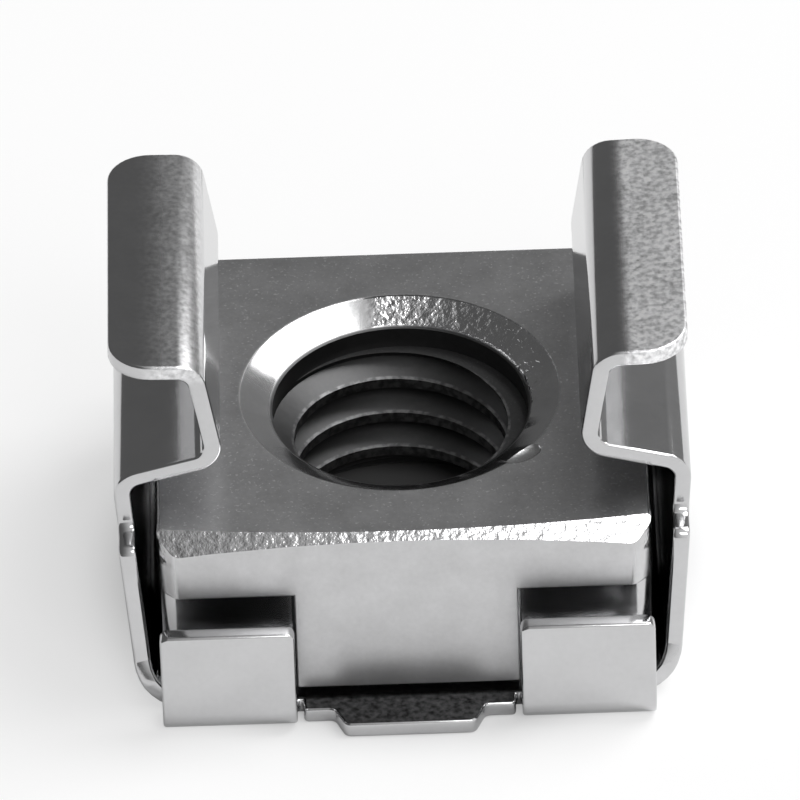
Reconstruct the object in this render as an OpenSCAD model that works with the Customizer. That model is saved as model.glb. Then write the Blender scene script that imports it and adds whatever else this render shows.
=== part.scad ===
// Rack cage nut: a square threaded block held loosely in a folded spring-steel cage.
// The base of the cage lies on the floor (z = 0), its two arms spring apart along X,
// and the screw enters from above, along the Z axis.

/* [Sheet] */
// Thickness of the spring steel sheet
sheet_t = 0.4; // [0.3:0.05:0.4]
// Inside radius of the bend between base and wall
foot_bend = 0.8; // [0.5:0.1:0.8]
// Inside radius of the bends in the arms
arm_bend = 0.3; // [0.2:0.05:0.4]

/* [Cage base] */
// Bore of the collar drawn up around the hole in the base
collar_bore = 6.7; // [6.5:0.1:6.9]
// Height of the collar's top above the floor; the nut sits on it
collar_top = 0.55; // [0.55:0.05:0.7]
// Thickness of the collar, thinned by drawing
collar_t = 0.3; // [0.25:0.05:0.35]
// Radius of the rounded mouth under the collar
collar_mouth = 0.5; // [0.3:0.05:0.5]
// Width of the tongues at their ends
tongue_w = 3.0; // [2:0.1:3.2]
// Distance from the axis to the end of a tongue
tongue_reach = 6.6; // [6.3:0.05:6.8]
// Distance from the axis to the root of a tongue, beside the tabs
tongue_root = 6.0; // [5.8:0.05:6.1]

/* [Tabs] */
// Width of each of the four tabs that keep the nut from sliding out
tab_w = 3.1; // [2.8:0.05:3.2]
// Distance along X from the axis to the inner edge of a tab
tab_inset = 2.6; // [2.5:0.05:2.7]
// Height of the tabs above the floor
tab_h = 2.95; // [2.4:0.05:3.1]
// Distance along Y from the axis to the outer face of a tab
tab_reach = 6.45; // [6.35:0.05:6.55]
// Inside radius of the bend under a tab
tab_bend = 0.3; // [0.2:0.05:0.35]
// Radius of a tab's upper corners
tab_corner = 0.2; // [0.1:0.05:0.4]

/* [Walls and arms] */
// Distance from the axis to the outer face of a wall, carried down to the floor
wall_foot = 6.27; // [6.25:0.01:6.4]
// Angle by which the walls lean outwards
wall_lean = 4; // [2:0.5:5]
// Height at which the outer faces of wall and shoulder meet
wall_top = 5.85; // [5.7:0.05:6.1]
// Upward slope of the shoulder towards the axis
shoulder_slope = 15; // [10:1:18]
// Distance from the axis to the inner face of the neck, at the height wall_top
neck_foot = 4.0; // [3.9:0.05:4.2]
// Angle by which the neck leans outwards
neck_lean = 9; // [5:1:12]
// Upward slope of the lip towards its outer edge
lip_slope = 1.5; // [0.5:0.5:4]
// Distance from the axis to the outer edge of a lip
lip_reach = 6.65; // [6.4:0.05:6.9]
// Overall height
cage_h = 9.05; // [8.8:0.05:9.4]
// Width of the arms along Y
arm_w = 8.2; // [7.6:0.1:8.6]
// Width of the walls along Y, up to their ears
wall_w = 9.9; // [9.4:0.1:10.2]
// Height of the ears above the floor
ear_h = 4.4; // [3.8:0.1:4.6]
// Radius of the ears' rounded corners and of the fillets above them
ear_round = 0.25; // [0.1:0.05:0.3]
// Distance along Y from the axis to the point of the notch between wall and tab
notch_apex = 5.5; // [5.3:0.05:5.6]
// Radius of the rounded corners of the lips
lip_corner = 1.0; // [0.4:0.1:1.2]

/* [Nut] */
// Width of the nut along X
nut_w = 11.4; // [11:0.1:11.4]
// Depth of the nut along Y
nut_d = 10.8; // [10.6:0.1:11.2]
// Height of the nut
nut_h = 4.4; // [4.2:0.1:4.6]
// Bore of the nut, the minor diameter of an M6 x 1 thread
thread_bore = 5.0; // [4.9:0.05:5.1]
// Diameter of the countersink at the top of the thread
sink_d = 7.45; // [6.8:0.05:7.8]
// Diameter of the countersink at the foot of the thread
foot_sink_d = 6.5; // [6.2:0.1:6.8]
// Included angle of both countersinks
sink_angle = 120; // [90:5:130]
// Width of the middle of the nut, which fits between the tabs
stem_w = 5.2; // [4.8:0.05:5.2]
// Height of the corner notches that clear the tabs
notch_h = 2.7; // [2.6:0.1:3]
// Depth of the corner notches along Y
notch_d = 0.85; // [0.7:0.05:1]
// Width of the flat across each upright corner, measured along X
corner_cut = 0.4; // [0.2:0.05:0.5]
// Diameter at which the cone that takes off the upper corners begins
crown_d = 14.1; // [13:0.1:14.5]
// Slope of that cone
crown_slope = 30; // [20:5:40]
// Size of the bevel along the nut's upper and lower edges
edge_break = 0.15; // [0.15:0.05:0.3]

/* [Hidden] */
$fn = 64;
half_t = sheet_t / 2;
beyond = 1;
eps = 0.01;

// Height above which an arm is lip rather than neck
lip_zone = cage_h - 2 * (sheet_t + arm_bend);

// The sheet's centre lines, each a point and a direction, from the base to the lip
base_line = [[0, half_t], 0];
wall_line = [[wall_foot - half_t / cos(wall_lean), 0], 90 - wall_lean];
shoulder_line = [
    [wall_foot + wall_top * tan(wall_lean), wall_top - half_t / cos(shoulder_slope)],
    180 - shoulder_slope
];
neck_line = [[neck_foot + half_t / cos(neck_lean), wall_top], 90 - neck_lean];
lip_end = [lip_reach - half_t * sin(lip_slope), cage_h - half_t * cos(lip_slope)];
lip_line = [lip_end, lip_slope];

// Unit vector in a direction, and the point where two lines cross
function heading(angle) = [cos(angle), sin(angle)];
function meet(a, b) =
    let (gap = b[0] - a[0], u = heading(a[1]), v = heading(b[1]))
    a[0] + u * (gap.x * v.y - gap.y * v.x) / (u.x * v.y - u.y * v.x);

// The arm as a folded strip: flat legs, joined by bends
arm_lines = [base_line, wall_line, shoulder_line, neck_line, lip_line];
arm_radii = [foot_bend + half_t, arm_bend + half_t, arm_bend + half_t, arm_bend + half_t];
arm_turns = [for (i = [0:3]) arm_lines[i + 1][1] - arm_lines[i][1]];
arm_corners = [base_line[0], for (i = [0:3]) meet(arm_lines[i], arm_lines[i + 1]), lip_end];
arm_setbacks = [0, for (i = [0:3]) arm_radii[i] * tan(abs(arm_turns[i]) / 2), 0];
arm_legs = [
    for (i = [0:4]) norm(arm_corners[i + 1] - arm_corners[i]) - arm_setbacks[i] - arm_setbacks[i + 1]
];

// Where the flat of the base ends and its bends begin
foot_line = arm_corners[1].x - arm_setbacks[1];
tab_line = tab_reach - sheet_t - tab_bend;
// Length by which a tab's root runs into the base
tab_overlap = 0.05;

// Section of a bend that starts at the origin along +X and turns by an angle
module bend(turn, radius) {
    side = sign(turn);
    reach = 2 * (radius + sheet_t);
    translate([0, side * radius]) intersection() {
        difference() {
            circle(radius + half_t);
            circle(radius - half_t);
        }
        polygon([[0, 0], reach * heading(-90 * side), reach * heading(-90 * side + turn)]);
    }
}

// Section of folded sheet, along its centre line: a flat leg, a bend, then the rest
module fold(legs, turns, radii, i = 0) {
    if (legs[i] > 0) translate([0, -half_t]) square([legs[i], sheet_t]);
    if (i < len(turns)) translate([legs[i], 0]) {
        side = sign(turns[i]);
        bend(turns[i], radii[i]);
        translate([0, side * radii[i]]) rotate(turns[i]) translate([0, -side * radii[i]])
            fold(legs, turns, radii, i + 1);
    }
}

// Outline of a wall and its arm, seen along X: the drawing's x is Y and its y is Z
module side_outline() {
    r = ear_round;
    foot_z = foot_bend + sheet_t;
    ear_y = wall_w / 2;
    ear_x = ear_y - r;
    arm_x = arm_w / 2 + r;
    polygon([
        [-notch_apex, -beyond], [notch_apex, -beyond], [notch_apex, 0],
        [ear_y, foot_z], [ear_y, ear_h - r], [ear_x, ear_h],
        [-ear_x, ear_h], [-ear_y, ear_h - r], [-ear_y, foot_z],
        [-notch_apex, 0]
    ]);
    for (side = [-1, 1]) translate([side * ear_x, ear_h - r]) circle(r);
    translate([-arm_w / 2, 0]) square([arm_w, lip_zone]);
    difference() {
        translate([-arm_x, ear_h - r]) square([2 * arm_x, 2 * r]);
        for (side = [-1, 1]) translate([side * arm_x, ear_h + r]) circle(r);
    }
}

// Outline of the two lips, seen from above
module lip_outline() {
    length = 2 * lip_reach + sheet_t;
    corner = lip_corner + half_t;
    square([length - 2 * corner, arm_w], center = true);
    square([length, arm_w - 2 * corner], center = true);
    for (x = [-1, 1], y = [-1, 1])
        translate([x * (length / 2 - corner), y * (arm_w / 2 - corner)]) circle(corner);
}

// One arm with half of the base: wall, shoulder, neck and lip
module arm() {
    intersection() {
        rotate([90, 0, 0]) linear_extrude(2 * tab_reach, center = true)
            translate([0, half_t]) fold(arm_legs, arm_turns, arm_radii);
        union() {
            translate([foot_line, 0, 0]) rotate([90, 0, 90]) linear_extrude(lip_reach) side_outline();
            translate([0, 0, lip_zone]) linear_extrude(cage_h) lip_outline();
            translate([0, 0, wall_top]) linear_extrude(lip_zone - wall_top)
                square([2 * lip_reach, arm_w], center = true);
        }
    }
}

// Flat of the base, with a tongue at the middle of its front and back edges
module base() {
    tongue_gap = 0.15;
    tongue_slant = 0.25;
    root_w = 2 * (tab_inset - tongue_gap);
    waist_w = tongue_w + 2 * tongue_slant;
    linear_extrude(sheet_t) {
        square([2 * foot_line, 2 * tab_line], center = true);
        square([root_w, 2 * tongue_root], center = true);
        for (side = [0, 1]) mirror([0, side]) polygon([
            [-waist_w / 2, 0], [waist_w / 2, 0], [waist_w / 2, tongue_root], [tongue_w / 2, tongue_reach],
            [-tongue_w / 2, tongue_reach], [-waist_w / 2, tongue_root]
        ]);
    }
}

// Outline of an upright tab, with rounded upper corners
module tab_outline() {
    square([tab_w, tab_h - tab_corner]);
    translate([tab_corner, 0]) square([tab_w - 2 * tab_corner, tab_h]);
    for (x = [tab_corner, tab_w - tab_corner]) translate([x, tab_h - tab_corner]) circle(tab_corner);
}

// One tab, bent up from the edge of the base
module tab() {
    root = tab_line - notch_apex + tab_overlap;
    upright = tab_h - sheet_t - tab_bend;
    intersection() {
        translate([tab_inset, tab_line - root, half_t]) rotate([90, 0, 90]) linear_extrude(tab_w)
            fold([root, upright], [90], [tab_bend + half_t]);
        translate([tab_inset, tab_reach, 0]) rotate([90, 0, 0]) linear_extrude(tab_reach) tab_outline();
    }
}

// Collar drawn up around the hole: a rounded mouth below and a flat seat for the nut above
module collar() {
    bore_r = collar_bore / 2;
    rotate_extrude() difference() {
        union() {
            translate([bore_r, 0]) square([collar_mouth + sheet_t, sheet_t]);
            translate([bore_r, 0]) square([collar_t, collar_top]);
        }
        difference() {
            square([bore_r + collar_mouth, collar_mouth]);
            translate([bore_r + collar_mouth, collar_mouth]) circle(collar_mouth);
        }
    }
}

// The spring-steel cage, one folded sheet
module cage() {
    color([0.72, 0.72, 0.72]) {
        difference() {
            union() {
                base();
                for (side = [0, 1]) mirror([side, 0, 0]) arm();
                for (x = [0, 1], y = [0, 1]) mirror([x, 0, 0]) mirror([0, y, 0]) tab();
            }
            translate([0, 0, -beyond]) cylinder(d = collar_bore + 2 * collar_mouth, h = 2 * beyond);
        }
        collar();
    }
}

// Plan of the nut at full width: a rectangle with its corners cut off
module nut_plan(depth) {
    x = nut_w / 2;
    y = depth / 2;
    c = corner_cut;
    polygon([
        [x - c, -y], [x, -y + c], [x, y - c], [x - c, y],
        [-x + c, y], [-x, y - c], [-x, -y + c], [-x + c, -y]
    ]);
}

// Countersink at the origin, opening downwards along -Z
module countersink(mouth_d) {
    depth = (mouth_d - thread_bore) / 2 / tan(sink_angle / 2);
    translate([0, 0, -eps])
        cylinder(d1 = mouth_d + 2 * eps * tan(sink_angle / 2), d2 = thread_bore, h = depth + eps);
}

// Bar along X whose upper and lower edges are bevelled, to cut the nut's edges to
module bevelled_bar(width) {
    x = width / 2;
    b = edge_break;
    rotate([90, 0, 90]) linear_extrude(2 * nut_w, center = true) polygon([
        [b - x, 0], [x - b, 0], [x, b], [x, nut_h - b],
        [x - b, nut_h], [b - x, nut_h], [-x, nut_h - b], [-x, b]
    ]);
}

// The square nut, sitting on the collar
module nut() {
    cone_h = nut_h - notch_h;
    color([0.55, 0.55, 0.56]) translate([0, 0, collar_top]) difference() {
        intersection() {
            union() {
                linear_extrude(notch_h) {
                    nut_plan(nut_d - 2 * notch_d);
                    square([stem_w, nut_d], center = true);
                }
                translate([0, 0, notch_h]) intersection() {
                    linear_extrude(cone_h) nut_plan(nut_d);
                    cylinder(d1 = crown_d + 2 * cone_h / tan(crown_slope), d2 = crown_d, h = cone_h);
                }
            }
            bevelled_bar(nut_d);
            rotate(90) bevelled_bar(nut_w);
        }
        translate([0, 0, -beyond]) cylinder(d = thread_bore, h = nut_h + 2 * beyond);
        countersink(foot_sink_d);
        translate([0, 0, nut_h]) mirror([0, 0, 1]) countersink(sink_d);
    }
}

cage();
nut();
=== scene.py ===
"""Rack cage nut: a threaded block held loosely in a folded spring-steel cage."""
import math

import bmesh
import bpy
from mathutils import Matrix, Vector


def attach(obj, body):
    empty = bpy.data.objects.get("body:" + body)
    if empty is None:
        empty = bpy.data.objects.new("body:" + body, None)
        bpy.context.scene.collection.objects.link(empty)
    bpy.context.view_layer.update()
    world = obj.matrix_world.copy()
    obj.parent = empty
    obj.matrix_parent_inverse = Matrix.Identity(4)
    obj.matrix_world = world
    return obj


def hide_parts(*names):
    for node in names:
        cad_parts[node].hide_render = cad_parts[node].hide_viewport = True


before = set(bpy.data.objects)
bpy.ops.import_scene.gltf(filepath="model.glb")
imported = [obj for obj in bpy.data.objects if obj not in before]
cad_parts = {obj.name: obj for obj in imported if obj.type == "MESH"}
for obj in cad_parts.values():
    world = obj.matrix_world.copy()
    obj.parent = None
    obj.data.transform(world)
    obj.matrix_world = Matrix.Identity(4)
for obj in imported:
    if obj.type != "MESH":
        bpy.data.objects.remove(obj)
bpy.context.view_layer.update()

# Pieces are made in millimetres, like the CAD, and shrunk to metres when they are finished
MM = 0.001

# How near a vertex has to be to a place to count as on it, and when shading breaks at an edge
NEAR = 0.01
CRISP = math.radians(35)

# Spring-steel sheet: thickness, and the rounding of its cut edges
SHEET = 0.4
SHEET_EDGE = 0.07

# A quarter of the cage's flat blank: x runs out along an arm, y out to the tongue and the tab
HOLE = 3.9
TONGUE_TIP, TONGUE_ROOT, TONGUE_REACH = 1.5, 1.75, 6.6
BASE_FRONT = 6.0
SLIT_SIDE, SLIT_FOOT = 2.45, 5.62
TAB_IN, TAB_OUT, TAB_END = 2.6, 5.7, 8.785
NICK_FOOT, NICK_FRONT, NICK_BACK = 5.26, 5.5, 5.34
WALL_FOOT = ((5.65, 5.3), (6.15, 5.2))
WALL_START, WALL_END, WALL_HALF = 6.75, 9.93, 4.95
ARM_HALF, ARM_END = 4.1, 17.583
LIP_CORNER = 1.0

# Bends: start along the flat sheet, turn and mid radius, for an arm from the base to the lip
ARM_BENDS = ((5.151, 86, 1.0), (10.820, 79, 0.5), (12.921, -84, 0.5), (15.330, -79.5, 0.5))
TAB_BEND = (5.75, 90, 0.5)
CREASES = 8

# Collar drawn up around the hole: outside and top as radius and height, then the mouth's radius
COLLAR_BORE = 3.35
COLLAR_RIM = ((3.78, 0.402), (3.7, 0.43), (3.655, 0.49), (3.62, 0.535), (3.56, 0.55), (3.43, 0.55),
              (3.375, 0.535), (COLLAR_BORE, 0.49))
MOUTH = 0.5

# Nut: size, the height of its foot above the floor, its notches, its corners and the rounding
NUT_SIZE = (11.4, 10.8, 4.4)
NUT_FOOT = 0.55
NUT_TOP = NUT_FOOT + NUT_SIZE[2]
NOTCH_X, NOTCH_Y, NOTCH_Z = 2.6, 4.55, 3.25
CORNER_CUT = 0.4
NUT_EDGE = 0.12

# Roll on the nut's upper front edge: its drop, what the distance squared adds, and where it is cut
ROLL, ROLL_CURVE = 0.17, 0.0108
ROLL_CUTS = (0, 1.8, -1.8, 3.6, -3.6, 5.2, -5.2)

# Thread, a 6 mm coarse one: shares of a turn for its crest and for each flank, and its lead-in
THREAD_MINOR, THREAD_MAJOR, PITCH = 2.5, 3.0, 1.0
CREST, FLANK = 0.25, 0.3125
TAP_POINTS, TAP_TURNS, TAP_START = 80, 7, -0.6

# Countersinks of 120 degrees, and the plain throat above the thread: radius and depth
SINK_TOP, SINK_FOOT = 3.725, 3.25
SINK_SLOPE = math.tan(math.radians(60))
SINK_EDGE = 0.05
THROAT_RADIUS, THROAT_DEPTH = 2.98, 0.95

# Dent beside the thread
DENT_SIZE = (0.52, 0.3, 0.13)
DENT_PLACE = (2.77, -2.5, NUT_TOP + 0.02)
DENT_TURN = math.radians(-31)

# Studio: the dim room and its brighter walls, the lamps' aim, and the camera
ROOM, SIDE_WALL, FRONT_WALL = 0.13, 0.14, 0.7
AIM = Vector((0, 0, 0.0047))
VIEW_DISTANCE, VIEW_ASIDE = 0.3132, 0.0022
VIEW_ELEVATION, VIEW_ROLL = math.radians(37.63), math.radians(2)
LENS, SENSOR = 606, 36


# ---------------------------------------------------------------- modelling helpers

def add(primitive, name, **settings):
    """Add a primitive, ready to be edited."""
    if bpy.context.object:
        bpy.ops.object.mode_set(mode="OBJECT")
    bpy.ops.object.select_all(action="DESELECT")
    primitive(**settings)
    piece = bpy.context.object
    piece.name = name
    piece.data.name = name
    bpy.ops.object.mode_set(mode="EDIT")
    bpy.ops.mesh.select_all(action="SELECT")
    return piece


def pick(kind, test):
    """Select the vertices, edges or faces that pass a test, and nothing else."""
    bpy.ops.mesh.select_mode(type={"verts": "VERT", "edges": "EDGE", "faces": "FACE"}[kind])
    bpy.ops.mesh.select_all(action="DESELECT")
    mesh = bpy.context.object.data
    for part in getattr(bmesh.from_edit_mesh(mesh), kind):
        if test(part):
            part.select_set(True)
    bmesh.update_edit_mesh(mesh)


def sharp(edge, degrees=40):
    """Whether the two faces at an edge meet at more than an angle."""
    return len(edge.link_faces) == 2 and edge.calc_face_angle() > math.radians(degrees)


def on_circle(part, radius, near=NEAR):
    """Whether an edge or face has all its vertices at one distance from the axis."""
    return all(abs(v.co.xy.length - radius) < near for v in part.verts)


def modify(piece, kind, **settings):
    """Give a piece a modifier and apply it."""
    bpy.ops.object.mode_set(mode="OBJECT")
    bpy.context.view_layer.objects.active = piece
    modifier = piece.modifiers.new(kind, kind)
    for name, value in settings.items():
        setattr(modifier, name, value)
    bpy.ops.object.modifier_apply(modifier=modifier.name)


def edit(piece):
    """Go back to editing a piece, with all of it selected."""
    bpy.ops.object.mode_set(mode="OBJECT")
    bpy.ops.object.select_all(action="DESELECT")
    bpy.context.view_layer.objects.active = piece
    piece.select_set(True)
    bpy.ops.object.mode_set(mode="EDIT")
    bpy.ops.mesh.select_all(action="SELECT")


def join_up(piece, gap=0.001):
    """Merge what coincides and turn all faces outwards."""
    edit(piece)
    bpy.ops.mesh.remove_doubles(threshold=gap)
    bpy.ops.mesh.normals_make_consistent(inside=False)


def soften(size, steps, test):
    """Round the edges that pass a test."""
    pick("edges", test)
    bpy.ops.mesh.bevel(offset=size, segments=steps, clamp_overlap=False)


def carve(piece, *tools):
    """Cut tools out of a piece, and put them away."""
    for tool in tools:
        modify(piece, "BOOLEAN", operation="DIFFERENCE", object=tool, solver="EXACT")
        bpy.data.objects.remove(tool)


def finish_piece(piece):
    """Shrink a finished piece to metres and give its flats and rounds clean shading."""
    edit(piece)
    bpy.ops.transform.resize(value=(MM, MM, MM), center_override=(0, 0, 0))
    bpy.ops.object.mode_set(mode="OBJECT")
    bpy.ops.object.shade_smooth_by_angle(angle=CRISP)
    modify(piece, "WEIGHTED_NORMAL", keep_sharp=True, weight=80)


# ---------------------------------------------------------------- cage

def outline(points):
    """Draw straight lines on from the selected point."""
    for here, there in zip(points, points[1:]):
        step = (there[0] - here[0], there[1] - here[1], 0)
        bpy.ops.mesh.extrude_vertices_move(TRANSFORM_OT_translate={"value": step})


def round_corner(x, y, radius, steps=4):
    """Round a corner of the flat blank."""
    pick("verts", lambda v: abs(v.co.x - x) < NEAR and abs(v.co.y - y) < NEAR)
    bpy.ops.mesh.bevel(affect="VERTICES", offset=radius, segments=steps)


def creases(start, turn, radius):
    """Rows of a bend on the flat blank, and the share of its turn at each."""
    arc = radius * math.radians(abs(turn))
    for k in range(CREASES + 1):
        share = 0.5 if k in (0, CREASES) else 1
        yield start + k * arc / CREASES, math.radians(turn) * share / CREASES


def crease(row, normal, covers):
    """Score the faces of the blank along a row."""
    pick("faces", covers)
    bpy.ops.mesh.bisect(plane_co=row * Vector(normal), plane_no=normal, threshold=1e-5)


def draw_blank():
    """A quarter of the flat blank, from the hole out to the tongue, the tab and the end of the arm."""
    blank = add(bpy.ops.mesh.primitive_plane_add, "spring_cage")
    bpy.ops.mesh.merge(type="CENTER")
    bpy.ops.transform.translate(value=(HOLE, 0, 0))
    bpy.ops.mesh.spin(steps=24, angle=math.radians(90), center=(0, 0, 0), axis=(0, 0, -1))
    outline((
        (0, HOLE), (0, TONGUE_REACH), (TONGUE_TIP, TONGUE_REACH), (TONGUE_ROOT, BASE_FRONT),
        (SLIT_SIDE, BASE_FRONT), (SLIT_SIDE, SLIT_FOOT), (TAB_IN, SLIT_FOOT), (TAB_IN, TAB_END),
        (TAB_OUT, TAB_END), (TAB_OUT, NICK_FRONT), (NICK_FOOT, NICK_FRONT), (NICK_FOOT, NICK_BACK),
        *WALL_FOOT, (WALL_START, WALL_HALF), (WALL_END, WALL_HALF), (WALL_END, ARM_HALF),
        (ARM_END, ARM_HALF), (ARM_END, 0), (HOLE, 0),
    ))
    bpy.ops.mesh.select_all(action="SELECT")
    bpy.ops.mesh.remove_doubles(threshold=0.001)
    bpy.ops.mesh.edge_face_add()
    for x, y, radius in (
        (TONGUE_TIP, TONGUE_REACH, 0.12), (TONGUE_ROOT, BASE_FRONT, 0.12), (SLIT_SIDE, BASE_FRONT, 0.1),
        (TAB_IN, TAB_END, 0.2), (TAB_OUT, TAB_END, 0.2), (TAB_OUT, NICK_FRONT, 0.12),
        (WALL_END, WALL_HALF, 0.25), (WALL_END, ARM_HALF, 0.25),
    ):
        round_corner(x, y, radius)
    round_corner(ARM_END, ARM_HALF, LIP_CORNER, steps=10)
    return blank


def in_tab(point, edge=TAB_BEND[0]):
    """Whether a point of the flat blank is on the tab, beyond an edge."""
    return point.y > edge and point.x > TAB_IN - 0.05


def fold_blank(blank):
    """Score the bends, remember the flat shape, and fold from the outside in."""
    foot = TAB_BEND[0]
    crease(foot, (0, 1, 0), lambda f: True)
    for bend in ARM_BENDS:
        for row, turn in creases(*bend):
            crease(row, (1, 0, 0), lambda f: all(v.co.y < foot + NEAR for v in f.verts))
    for row, turn in creases(*TAB_BEND):
        crease(row, (0, 1, 0), lambda f: all(in_tab(v.co, foot - NEAR) for v in f.verts))
    flat = [v.co.copy() for v in bmesh.from_edit_mesh(blank.data).verts]
    for bend in reversed(ARM_BENDS):
        for row, turn in reversed(list(creases(*bend))):
            pick("verts", lambda v: flat[v.index].x > row + 0.001 and flat[v.index].y < NICK_FRONT - 0.05)
            bpy.ops.transform.rotate(value=turn, orient_axis="Y", center_override=(row, 0, 0))
    for row, turn in reversed(list(creases(*TAB_BEND))):
        pick("verts", lambda v: in_tab(flat[v.index], row + 0.001))
        bpy.ops.transform.rotate(value=-turn, orient_axis="X", center_override=(0, row, 0))


def draw_collar():
    """Draw the hole's upper rim up and over into the collar and its rounded mouth."""
    pick("faces", lambda f: on_circle(f, HOLE))
    bpy.ops.mesh.delete(type="ONLY_FACE")
    section = list(COLLAR_RIM)
    for turn in range(15, 91, 15):
        angle = math.radians(turn)
        section.append((COLLAR_BORE + MOUTH - MOUTH * math.cos(angle), MOUTH - MOUTH * math.sin(angle)))
    section.append((HOLE, 0))
    pick("edges", lambda e: on_circle(e, HOLE) and all(v.co.z > SHEET / 2 for v in e.verts))
    radius, height = HOLE, SHEET
    for next_radius, next_height in section:
        bpy.ops.mesh.extrude_edges_move(TRANSFORM_OT_translate={"value": (0, 0, next_height - height)})
        grow = next_radius / radius
        bpy.ops.transform.resize(value=(grow, grow, 1), center_override=(0, 0, 0))
        radius, height = next_radius, next_height


def make_cage():
    """Folded cage: a quarter of it is drawn flat, folded, mirrored and given the sheet's thickness."""
    cage = draw_blank()
    fold_blank(cage)
    modify(cage, "MIRROR", use_axis=(True, True, False), merge_threshold=0.001)
    join_up(cage)
    modify(cage, "SOLIDIFY", thickness=SHEET, offset=0, use_even_offset=True, use_quality_normals=True)
    edit(cage)
    bpy.ops.transform.translate(value=(0, 0, SHEET / 2))
    draw_collar()
    join_up(cage, 0.002)
    bpy.ops.mesh.delete_loose()
    soften(SHEET_EDGE, 3, lambda e: sharp(e, 60))
    finish_piece(cage)
    return cage


# ---------------------------------------------------------------- nut

def make_tap():
    """Solid that cuts the thread: a cam-shaped section, swept up a helix."""
    tap = add(bpy.ops.mesh.primitive_circle_add, "tap", vertices=TAP_POINTS, radius=THREAD_MINOR)
    for point in range(TAP_POINTS):
        way = point / TAP_POINTS
        rise = min(max((way - CREST) / FLANK, 0), max((1 - way) / FLANK, 0), 1)
        reach = 1 + (THREAD_MAJOR / THREAD_MINOR - 1) * rise
        pick("verts", lambda v: v.index == point)
        bpy.ops.transform.resize(value=(reach, reach, 1), center_override=(0, 0, 0))
    modify(tap, "SCREW", axis="Z", angle=math.tau, screw_offset=PITCH, iterations=TAP_TURNS,
           steps=48, render_steps=48, use_merge_vertices=True, merge_threshold=0.0005)
    join_up(tap)
    pick("edges", lambda e: len(e.link_faces) == 1)
    bpy.ops.mesh.edge_face_add()
    bpy.ops.mesh.select_all(action="SELECT")
    bpy.ops.transform.translate(value=(0, 0, TAP_START))
    bpy.ops.mesh.normals_make_consistent(inside=False)
    return tap


def make_countersink(name, mouth, height, side):
    """Wide cone that opens the thread's end on one side of the nut."""
    deep = mouth / SINK_SLOPE + 1
    sink = add(bpy.ops.mesh.primitive_cone_add, name, vertices=96, radius1=deep * SINK_SLOPE, radius2=0,
               depth=deep)
    bpy.ops.transform.translate(value=(0, 0, deep / 2 - 1))
    bpy.ops.transform.resize(value=(1, 1, -side), center_override=(0, 0, 0))
    bpy.ops.transform.translate(value=(0, 0, height))
    bpy.ops.mesh.normals_make_consistent(inside=False)
    return sink


def make_throat():
    """Plain bore above the thread."""
    throat = add(bpy.ops.mesh.primitive_cylinder_add, "throat", vertices=96, radius=THROAT_RADIUS, depth=2)
    bpy.ops.transform.translate(value=(0, 0, NUT_TOP - THROAT_DEPTH + 1))
    return throat


def make_dent():
    """Small oval dent in the top."""
    dent = add(bpy.ops.mesh.primitive_uv_sphere_add, "dent", segments=24, ring_count=12, radius=1)
    bpy.ops.transform.resize(value=DENT_SIZE)
    bpy.ops.transform.rotate(value=DENT_TURN, orient_axis="Z", center_override=(0, 0, 0))
    bpy.ops.transform.translate(value=DENT_PLACE)
    return dent


def in_notch(edge):
    """Whether an edge borders a notch that clears a tab."""
    return all(v.co.z < NOTCH_Z + NEAR and abs(v.co.x) > NOTCH_X - NEAR and abs(v.co.y) > NOTCH_Y - 0.5
               for v in edge.verts)


def on_notch_corner(edge):
    """Whether an edge is the upright outer corner that a notch has left."""
    return all(abs(abs(v.co.x) - NUT_SIZE[0] / 2) + abs(abs(v.co.y) - NOTCH_Y) < NEAR for v in edge.verts)


def make_block():
    """Plain block with cut corners, a notch above each tab, and rounded edges."""
    block = add(bpy.ops.mesh.primitive_cube_add, "square_nut", size=1)
    bpy.ops.transform.resize(value=NUT_SIZE)
    bpy.ops.transform.translate(value=(0, 0, NUT_FOOT + NUT_SIZE[2] / 2))
    pick("edges", lambda e: abs(e.verts[0].co.z - e.verts[1].co.z) > 1)
    bpy.ops.mesh.bevel(offset=CORNER_CUT, segments=1)

    notch = add(bpy.ops.mesh.primitive_cube_add, "notch", size=1)
    bpy.ops.transform.resize(value=(4, 2, 4))
    bpy.ops.transform.translate(value=(NOTCH_X + 2, NOTCH_Y + 1, NOTCH_Z - 2))
    modify(notch, "MIRROR", use_axis=(True, True, False))
    carve(block, notch)

    edit(block)
    pick("edges", on_notch_corner)
    bpy.ops.mesh.bevel(offset=CORNER_CUT, segments=1)
    soften(NUT_EDGE, 3, lambda e: sharp(e) and not in_notch(e))
    soften(NUT_EDGE / 2, 2, lambda e: sharp(e) and in_notch(e))
    return block


def shave(point, normal):
    """Cut the piece off flat beyond a plane."""
    bpy.ops.mesh.select_all(action="SELECT")
    bpy.ops.mesh.bisect(plane_co=point, plane_no=normal, threshold=1e-5, use_fill=True, clear_outer=True)


def roll_edges():
    """Shearing has rolled the front edge down, more so towards the corners; the back corners less."""
    half = NUT_SIZE[1] / 2
    for x in ROLL_CUTS:
        shave((x, -half, NUT_TOP - ROLL - ROLL_CURVE * x * x), (2 * ROLL_CURVE * x, -1, 1))
    for side in (-1, 1):
        shave((4.1 * side, half, NUT_TOP), (0.25 * side, 1.15, 1))


def make_nut():
    """Block with rolled edges, a thread that is countersunk at both ends, and a dent."""
    nut = make_block()
    roll_edges()
    carve(nut, make_throat(), make_countersink("top_sink", SINK_TOP, NUT_TOP, 1),
          make_countersink("foot_sink", SINK_FOOT, NUT_FOOT, -1), make_tap())
    edit(nut)
    soften(SINK_EDGE, 2, lambda e: on_circle(e, SINK_TOP, 0.02)
           and all(abs(v.co.z - NUT_TOP) < NEAR for v in e.verts))
    carve(nut, make_dent())
    finish_piece(nut)
    return nut


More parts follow.
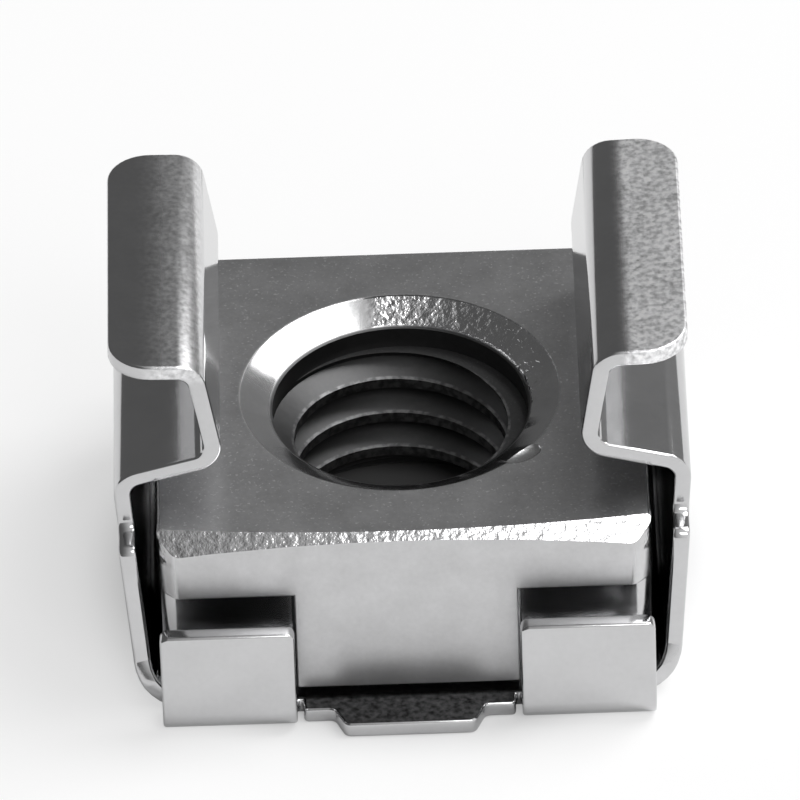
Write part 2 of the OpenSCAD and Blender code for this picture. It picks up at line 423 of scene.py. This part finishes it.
# ---------------------------------------------------------------- assembly

cage = make_cage()
nut = make_nut()
for piece, node, slot in ((cage, "cage", "cage_steel"), (nut, "nut", "nut_steel")):
    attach(piece, "root")
    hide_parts(node)


# ---------------------------------------------------------------- shader maths

class Wire:
    """A socket of a shader, on which sums are written as Python expressions."""

    def __init__(self, tree, socket=None):
        self.tree = tree
        self.socket = socket

    def node(self, kind, settings, *values, output=0, **named):
        """Add any node, set it up, feed its sockets in order or by name, and return an output."""
        made = self.tree.nodes.new("ShaderNode" + kind)
        for name, value in settings.items():
            setattr(made, name, value)
        sockets = [socket for socket in made.inputs if socket.enabled]
        feeds = list(zip(sockets, values)) + [(made.inputs[name], value) for name, value in named.items()]
        for socket, value in feeds:
            if isinstance(value, Wire):
                self.tree.links.new(value.socket, socket)
            else:
                socket.default_value = value
        return Wire(self.tree, made.outputs[output])

    def maths(self, operation, *values):
        return self.node("Math", {"operation": operation}, *values)

    def __add__(self, other):
        return self.maths("ADD", self, other)

    def __radd__(self, other):
        return self.maths("ADD", other, self)

    def __sub__(self, other):
        return self.maths("SUBTRACT", self, other)

    def __rsub__(self, other):
        return self.maths("SUBTRACT", other, self)

    def __mul__(self, other):
        return self.maths("MULTIPLY", self, other)

    def __rmul__(self, other):
        return self.maths("MULTIPLY", other, self)

    def __abs__(self):
        return self.maths("ABSOLUTE", self)

    def root(self):
        return self.maths("SQRT", self)

    def above(self, edge, soft):
        """0 below an edge and 1 above it, over a soft step."""
        return self.node("MapRange", {"interpolation_type": "SMOOTHSTEP"}, self,
                         edge - soft, edge + soft, 0, 1)

    def below(self, edge, soft):
        """1 below an edge and 0 above it, over a soft step."""
        return 1 - self.above(edge, soft)

    def length(self):
        """Length of a vector."""
        return self.node("VectorMath", {"operation": "LENGTH"}, self, output=1)

    def axes(self):
        """x, y and z of a vector."""
        return [self.node("SeparateXYZ", {}, self, output=axis) for axis in range(3)]

    def noise(self, per_mm, detail=2, stretch=None):
        """Fine noise around 0.5 at a place, stretched along an axis if asked."""
        place = self.node("Mapping", {}, self, Scale=stretch) if stretch else self
        return self.node("TexNoise", {}, Vector=place, Scale=per_mm / MM, Detail=detail)

    def run_to(self, socket):
        """Join the wire to a socket of a node that is already there."""
        self.tree.links.new(self.socket, socket)


# ---------------------------------------------------------------- materials

def start_metal(name):
    """Bare metal: the material, and wires of the place on the piece and the way that it faces."""
    paint = bpy.data.materials.new(name)
    paint.use_nodes = True
    paint.node_tree.nodes["Principled BSDF"].inputs["Metallic"].default_value = 1
    graph = Wire(paint.node_tree)
    return paint, graph.node("TexCoord", {}, output=3), graph.node("TexCoord", {}, output=1)


def plate(paint, tone, rough, height, relief):
    """Give a metal its grey, its roughness, and a fine relief in millimetres."""
    shader = paint.node_tree.nodes["Principled BSDF"]
    tone.node("CombineColor", {}, tone, tone, tone * 1.01).run_to(shader.inputs["Base Color"])
    rough.run_to(shader.inputs["Roughness"])
    bump = height.node("Bump", {}, Strength=1, Distance=relief * MM, Height=height)
    bump.run_to(shader.inputs["Normal"])


def make_cage_plate():
    """Bright plate on spring steel: fine orange peel, drawn faintly along the fold lines."""
    paint, place, normal = start_metal("cage_plate")
    x, y, z = place.axes()
    peel = place.noise(7, 3)
    cloud = place.noise(0.9)
    drawn = place.noise(5, stretch=(1, 0.08, 1))

    # Painted sheen lightens the right lip and painted shade darkens a band of the left lip, both also
    # rougher; painted shade darkens the tongues, also duller, and the collar
    lip = z.above(8.6 * MM, 0.2 * MM)
    # Painted sheen: the right lip is lighter and speckled in colour, and also rougher and bumpier
    right_lip_sheen_and_rough = x.above(5.2 * MM, 0.2 * MM) * lip
    # Painted shade: a band of the left lip is darker in colour, and also rougher and bumpier
    left_band_shade_and_rough = x.below(-4.5 * MM, 0.3 * MM) * x.above(-5.6 * MM, 0.5 * MM) * lip
    upward = normal.axes()[2].above(0.85, 0.1)
    # Painted shade: the tongues' upper faces below the nut are darkened, and also rougher
    tongue = abs(y).above(5.4 * MM, 0.2 * MM) * z.below(0.6 * MM, 0.1 * MM) * upward
    # Painted shade: the collar and hole are darkened in colour
    inside = place.length().below(3.7 * MM, 0.2 * MM)

    plain = 0.5 + peel * 0.05 + cloud * 0.08 + right_lip_sheen_and_rough * (peel * 1.6 - 0.55) + left_band_shade_and_rough * (peel - 0.35)
    # Painted shade on the tongues and inside the collar
    tone = plain * (1 - inside * 0.8 - tongue * (1.07 - peel * 0.3))
    rough = 0.08 + cloud * 0.08 + right_lip_sheen_and_rough * 0.34 + left_band_shade_and_rough * 0.2 + tongue * 0.1
    height = peel * (0.35 + right_lip_sheen_and_rough * 3 + left_band_shade_and_rough * 1.2 + tongue * 1.5) + drawn * (0.7 + right_lip_sheen_and_rough * 2)
    plate(paint, tone, rough, height, relief=0.0018)
    return paint


def make_nut_plate():
    """Plate on the block: finely pitted above, rough on the rolled edges, with painted shade in the thread
    and painted glints on its crests.
    """
    paint, place, normal = start_metal("nut_plate")
    x, y, z = place.axes()
    radius = (x * x + y * y).root()
    peel = place.noise(9, 3)
    grain = place.noise(5.2, 3)
    cloud = place.noise(1.1)

    # Flats, sheared sides, the bore and its crest, the rough part of the cone, and the rolled edges
    flat = abs(normal.axes()[2]).above(0.95, 0.04)
    sheared = abs(normal.axes()[1]).above(0.9, 0.08)
    bore = radius.below(3.05 * MM, 0.04 * MM)
    crest = radius.below(2.56 * MM, 0.02 * MM)
    behind = x.above(-0.6 * MM, 0.3 * MM) * y.above(0, 1 * MM)
    cone = (1 - flat) * radius.below(3.8 * MM, 0.1 * MM) * (1 - bore) * behind
    rolled = (1 - flat) * (1 - sheared) * radius.above(5 * MM, 0.1 * MM) * z.above(4.2 * MM, 0.1 * MM)
    satin = sheared * abs(y).above(5.2 * MM, 0.1 * MM)
    pits = place.noise(14).above(0.66, 0.05) * flat
    # Painted glint: broken lighter streaks on the thread's crests
    crest_glint = crest * grain.above(0.5, 0.15)

    plain = 0.46 + peel * (0.08 + flat * 0.1) + cloud * 0.16 + pits * 0.25
    # Painted shade darkens the thread's bore; painted glints lighten broken streaks on its crests
    tone = plain * (1 - bore * 0.86) + crest_glint * 0.1
    rough = 0.12 + cloud * 0.06 + flat * 0.17 + satin * 0.22 + bore * 0.3
    coarse = grain * (rolled * 14 + cone * 40 + bore * 3)
    height = peel * (0.4 + flat * 1.4) + coarse + pits * 0.5 + cloud * 0.6
    plate(paint, tone, rough, height, relief=0.0015)
    return paint


def dress(piece, paint):
    """Give a piece its only material."""
    piece.data.materials.clear()
    piece.data.materials.append(paint)


dress(cage, make_cage_plate())
dress(nut, make_nut_plate())


# ---------------------------------------------------------------- studio

def make_floor_paper():
    """Pale paper, painted darker under the nut as a painted shadow, which the camera sees whiter away from
    the nut.
    """
    paint = bpy.data.materials.new("floor_paper")
    paint.use_nodes = True
    tree = paint.node_tree
    card = tree.nodes["Principled BSDF"]
    card.inputs["Roughness"].default_value = 0.9
    graph = Wire(tree)
    away = graph.node("TexCoord", {}, output=3).length().above(6 * MM, 2 * MM)
    # Painted shadow: the paper's colour is darker under the nut
    shade = 0.15 + away * 0.75
    graph.node("CombineColor", {}, shade, shade, shade).run_to(card.inputs["Base Color"])
    seen = graph.node("LightPath", {}) * away * 0.6
    paper = graph.node("MixShader", {}, seen, Wire(tree, card.outputs[0]), graph.node("Emission", {}))
    paper.run_to(tree.nodes["Material Output"].inputs["Surface"])
    return paint


def make_world():
    """Dim room, a little lighter on the right, with a bright front corner; white to the camera."""
    world = bpy.data.worlds.new("studio")
    bpy.context.scene.world = world
    world.use_nodes = True
    graph = Wire(world.node_tree)
    right, back = graph.node("TexCoord", {}).axes()[:2]
    corner = back.below(0.2, 0.3) * right.above(-0.1, 0.3)
    room = ROOM + SIDE_WALL * right.above(0.25, 0.25) + FRONT_WALL * corner
    seen = graph.node("LightPath", {})
    background = world.node_tree.nodes["Background"]
    background.inputs["Color"].default_value = (1, 1, 1, 1)
    (room * (1 - seen) + seen).run_to(background.inputs["Strength"])


def lamp(name, place, size, power):
    """Soft square lamp that faces the nut."""
    data = bpy.data.lights.new(name, "AREA")
    data.size = size
    data.energy = power
    light = bpy.data.objects.new(name, data)
    bpy.context.scene.collection.objects.link(light)
    light.location = place
    light.rotation_euler = (AIM - Vector(place)).to_track_quat("-Z", "Y").to_euler()


def make_camera():
    """Looks down at the nut from the front, with a little roll."""
    data = bpy.data.cameras.new("camera")
    data.lens = LENS
    data.sensor_width = SENSOR
    data.clip_start = 0.01
    data.clip_end = 10
    camera = bpy.data.objects.new("camera", data)
    bpy.context.scene.collection.objects.link(camera)
    bpy.context.scene.camera = camera
    way = Vector((VIEW_ASIDE, -math.cos(VIEW_ELEVATION), math.sin(VIEW_ELEVATION)))
    camera.location = AIM + VIEW_DISTANCE * way
    look = (AIM - camera.location).to_track_quat("-Z", "Y").to_matrix()
    camera.rotation_euler = (look @ Matrix.Rotation(-VIEW_ROLL, 3, "Z")).to_euler()


floor = add(bpy.ops.mesh.primitive_plane_add, "floor", size=2)
bpy.ops.object.mode_set(mode="OBJECT")
dress(floor, make_floor_paper())
make_world()
lamp("key", (0.2, 0.09, 0.33), 0.26, 1.1)
lamp("front", (0.1, -0.26, 0.27), 0.14, 0.3)
make_camera()
bpy.context.scene.view_settings.view_transform = "Standard"

bpy.context.view_layer.update()
